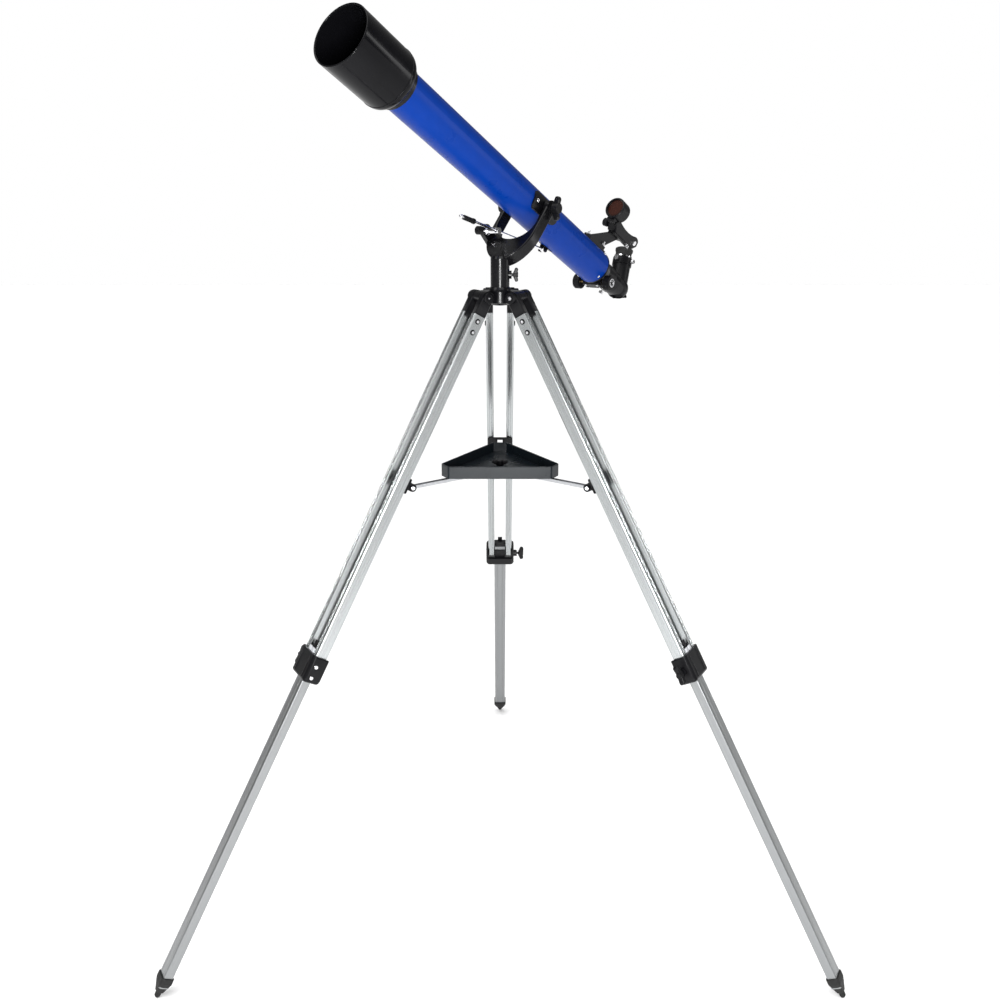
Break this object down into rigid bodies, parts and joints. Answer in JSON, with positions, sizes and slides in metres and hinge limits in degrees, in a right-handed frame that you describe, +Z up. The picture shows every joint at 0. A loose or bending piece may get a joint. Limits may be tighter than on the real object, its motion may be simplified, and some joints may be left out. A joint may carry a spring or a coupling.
{
  "type": "refracting telescope on tripod",
  "caption": "Small refracting telescope with a red-dot finder, a right-angle eyepiece, a fork altazimuth head and a folding aluminium tripod with a tray.",
  "frame": {"origin": "on the floor, under the middle of the whole object's box", "axes": "+Z up, one leg points to +Y, the other two stand to the front (-Y) on either side"},
  "size_m": [1.1302, 0.9842, 1.4969],
  "materials": {
    "blue_enamel": "gloss",
    "black_enamel": "satin",
    "leg_aluminium": "satin",
    "lower_leg_aluminium": "satin",
    "black_plastic": "satin",
    "gloss_black_plastic": "gloss",
    "tray_plastic": "gloss",
    "rubber": "matte",
    "chrome": "polished",
    "zinc_steel": "satin",
    "brass": "satin",
    "lens_glass": "polished",
    "finder_glass": "polished",
    "mirror_glass": "polished",
    "baffle_black": "matte"
  },
  "bodies": {
    "tripod_hub": {"tripod_hub": "black_enamel"},
    "azimuth_lock": {"azimuth_lock": "black_plastic"},
    "left_leg": {"left_leg_rails": "leg_aluminium", "left_leg_brackets": "black_plastic", "left_leg_collar": "black_plastic", "left_leg_fasteners": "chrome"},
    "left_lower_leg": {"left_lower_leg": "lower_leg_aluminium", "left_foot": "rubber"},
    "left_leg_lock": {"left_leg_lock": "black_plastic"},
    "left_strut": {"left_strut": "zinc_steel"},
    "right_leg": {"right_leg_rails": "leg_aluminium", "right_leg_brackets": "black_plastic", "right_leg_collar": "black_plastic", "right_leg_fasteners": "chrome"},
    "right_lower_leg": {"right_lower_leg": "lower_leg_aluminium", "right_foot": "rubber"},
    "right_leg_lock": {"right_leg_lock": "black_plastic"},
    "right_strut": {"right_strut": "zinc_steel"},
    "rear_leg": {"rear_leg_rails": "leg_aluminium", "rear_leg_brackets": "black_plastic", "rear_leg_collar": "black_plastic", "rear_leg_fasteners": "chrome"},
    "rear_lower_leg": {"rear_lower_leg": "lower_leg_aluminium", "rear_foot": "rubber"},
    "rear_leg_lock": {"rear_leg_lock": "black_plastic"},
    "rear_strut": {"rear_strut": "zinc_steel"},
    "spreader": {"spreader_plate": "black_plastic"},
    "tray": {"accessory_tray": "tray_plastic"},
    "tray_screw": {"tray_screw": "black_plastic"},
    "fork": {"fork": "black_enamel"},
    "near_altitude_lock": {"near_altitude_lock": "black_plastic"},
    "far_altitude_lock": {"far_altitude_lock": "black_plastic"},
    "rod_eye": {"rod_eye_bolt": "chrome"},
    "rod_lock_nut": {"rod_lock_nut": "black_plastic"},
    "tube": {"main_tube": "blue_enamel", "tube_brackets": "black_enamel", "tube_screws": "chrome", "objective_cell": "black_enamel", "objective_lens": "lens_glass", "tube_baffles": "baffle_black", "focuser_body": "black_plastic", "finder_bracket": "black_plastic", "finder_screws": "chrome", "finder_body": "black_plastic", "finder_window": "finder_glass"},
    "dew_shield": {"dew_shield": "gloss_black_plastic"},
    "rod": {"altitude_rod": "chrome"},
    "rod_sleeve": {"rod_sleeve": "black_plastic"},
    "drawtube": {"drawtube": "chrome", "drawtube_screws": "chrome"},
    "pinion": {"focus_pinion": "brass", "focus_knobs": "black_plastic"},
    "diagonal": {"diagonal_body": "gloss_black_plastic", "diagonal_mirror": "mirror_glass", "diagonal_screws": "chrome"},
    "eyepiece": {"eyepiece_barrel": "chrome", "eyecup": "rubber", "eye_lens": "lens_glass"},
    "finder_knob": {"finder_knob": "black_plastic"}
  },
  "joints": [
    {"name": "azimuth", "type": "hinge", "parent": "tripod_hub", "child": "fork", "pos_m": [0, -0.15971, 1.14664], "axis": [0, 0, 1], "continuous": true},
    {"name": "azimuth_lock_turn", "type": "hinge", "parent": "tripod_hub", "child": "azimuth_lock", "pos_m": [0.01535, -0.15971, 1.13364], "axis": [1, 0, 0], "range_deg": [0, 180]},
    {"name": "left_leg_fold", "type": "hinge", "parent": "tripod_hub", "child": "left_leg", "pos_m": [-0.03031, -0.17721, 1.09964], "axis": [0.5, -0.866, 0], "range_deg": [0, 25]},
    {"name": "left_strut_swing", "type": "hinge", "parent": "left_leg", "child": "left_strut", "pos_m": [-0.14548, -0.2437, 0.79959], "axis": [0.5, -0.866, 0], "range_deg": [-1, 66.96]},
    {"name": "left_leg_extend", "type": "slide", "parent": "left_leg", "child": "left_lower_leg", "axis": [0.4225, 0.2439, 0.8729], "range_m": [0, 0.45]},
    {"name": "left_leg_lock_turn", "type": "hinge", "parent": "left_leg", "child": "left_leg_lock", "pos_m": [-0.32789, -0.30283, 0.52613], "axis": [-0.5, 0.866, 0], "range_deg": [0, 180]},
    {"name": "right_leg_fold", "type": "hinge", "parent": "tripod_hub", "child": "right_leg", "pos_m": [0.03031, -0.17721, 1.09964], "axis": [0.5, 0.866, 0], "range_deg": [0, 25]},
    {"name": "right_strut_swing", "type": "hinge", "parent": "right_leg", "child": "right_strut", "pos_m": [0.14548, -0.2437, 0.79959], "axis": [0.5, 0.866, 0], "range_deg": [-1, 66.96]},
    {"name": "right_leg_extend", "type": "slide", "parent": "right_leg", "child": "right_lower_leg", "axis": [-0.4225, 0.2439, 0.8729], "range_m": [0, 0.45]},
    {"name": "right_leg_lock_turn", "type": "hinge", "parent": "right_leg", "child": "right_leg_lock", "pos_m": [0.28789, -0.37212, 0.52613], "axis": [-0.5, -0.866, 0], "range_deg": [0, 180]},
    {"name": "rear_leg_fold", "type": "hinge", "parent": "tripod_hub", "child": "rear_leg", "pos_m": [0, -0.12471, 1.09964], "axis": [-1, 0, 0], "range_deg": [0, 25]},
    {"name": "rear_strut_swing", "type": "hinge", "parent": "rear_leg", "child": "rear_strut", "pos_m": [0, 0.00827, 0.79959], "axis": [-1, 0, 0], "range_deg": [-1, 66.96]},
    {"name": "rear_leg_extend", "type": "slide", "parent": "rear_leg", "child": "rear_lower_leg", "axis": [0, -0.4879, 0.8729], "range_m": [0, 0.45]},
    {"name": "rear_leg_lock_turn", "type": "hinge", "parent": "rear_leg", "child": "rear_leg_lock", "pos_m": [0.04, 0.19581, 0.52613], "axis": [1, 0, 0], "range_deg": [0, 180]},
    {"name": "spreader_rise", "type": "slide", "parent": "tripod_hub", "child": "spreader", "axis": [0, 0, 1], "range_m": [0, 0.0997]},
    {"name": "tray_lift_away", "type": "slide", "parent": "tripod_hub", "child": "tray", "axis": [0, -0.8, 0.6], "range_m": [0, 0.451]},
    {"name": "tray_screw_turn", "type": "hinge", "parent": "tray", "child": "tray_screw", "pos_m": [0, -0.15971, 0.80936], "axis": [0, 0, 1], "continuous": true},
    {"name": "altitude", "type": "hinge", "parent": "fork", "child": "tube", "pos_m": [0.04909, -0.09312, 1.23638], "axis": [-0.8049, 0.5934, 0], "range_deg": [-27.4, 17.6]},
    {"name": "near_altitude_lock_turn", "type": "hinge", "parent": "fork", "child": "near_altitude_lock", "pos_m": [0.08451, -0.11923, 1.23638], "axis": [0.8049, -0.5934, 0], "range_deg": [0, 180]},
    {"name": "far_altitude_lock_turn", "type": "hinge", "parent": "fork", "child": "far_altitude_lock", "pos_m": [0.01368, -0.06701, 1.23638], "axis": [-0.8049, 0.5934, 0], "range_deg": [0, 180]},
    {"name": "rod_eye_swivel", "type": "hinge", "parent": "fork", "child": "rod_eye", "pos_m": [0.00831, -0.14844, 1.20164], "axis": [-0.8049, 0.5934, 0], "range_deg": [-16.19, 10.51]},
    {"name": "rod_pin_swing", "type": "hinge", "parent": "tube", "child": "rod", "pos_m": [0.07462, -0.03154, 1.16566], "axis": [-0.8049, 0.5934, 0], "range_deg": [-7.69, 11.81]},
    {"name": "rod_lock_turn", "type": "hinge", "parent": "rod_eye", "child": "rod_lock_nut", "pos_m": [-0.03194, -0.11877, 1.20164], "axis": [-0.8049, 0.5934, 0], "continuous": true},
    {"name": "rod_sleeve_turn", "type": "hinge", "parent": "rod", "child": "rod_sleeve", "pos_m": [-0.03997, -0.18696, 1.21773], "axis": [-0.573, -0.7771, 0.2604], "continuous": true},
    {"name": "dew_shield_pull", "type": "slide", "parent": "tube", "child": "dew_shield", "axis": [-0.5268, -0.7146, 0.4602], "range_m": [0, 0.12]},
    {"name": "focus_travel", "type": "slide", "parent": "tube", "child": "drawtube", "axis": [0.5268, 0.7146, -0.4602], "range_m": [0, 0.06]},
    {"name": "focus_turn", "type": "hinge", "parent": "tube", "child": "pinion", "pos_m": [0.1732, 0.07521, 1.10094], "axis": [0.8049, -0.5934, 0], "range_deg": [-689.5, 2]},
    {"name": "diagonal_roll", "type": "hinge", "parent": "drawtube", "child": "diagonal", "pos_m": [0.22506, 0.14555, 1.08267], "axis": [-0.5268, -0.7146, 0.4602], "range_deg": [-175, 175]},
    {"name": "eyepiece_pull", "type": "slide", "parent": "diagonal", "child": "eyepiece", "axis": [0.1875, 0.4304, 0.883], "range_m": [0, 0.04]},
    {"name": "finder_knob_turn", "type": "hinge", "parent": "tube", "child": "finder_knob", "pos_m": [0.19522, 0.09373, 1.20706], "axis": [-0.7068, 0.6691, 0.2298], "range_deg": [0, 270]}
  ],
  "couplings": [
    {"joint": "left_strut_swing", "follows": "left_leg_fold", "ratio": 2.6385},
    {"joint": "right_leg_fold", "follows": "left_leg_fold", "ratio": 1},
    {"joint": "right_strut_swing", "follows": "left_leg_fold", "ratio": 2.6385},
    {"joint": "rear_leg_fold", "follows": "left_leg_fold", "ratio": 1},
    {"joint": "rear_strut_swing", "follows": "left_leg_fold", "ratio": 2.6385},
    {"joint": "spreader_rise", "follows": "left_leg_fold", "m_per_rad": 0.22625},
    {"joint": "tray_lift_away", "follows": "left_leg_fold", "m_per_rad": 1.0313},
    {"joint": "rod_eye_swivel", "follows": "altitude", "ratio": 0.58},
    {"joint": "rod_pin_swing", "follows": "altitude", "ratio": -0.42},
    {"joint": "focus_turn", "follows": "focus_travel", "rad_per_m": -200}
  ]
}
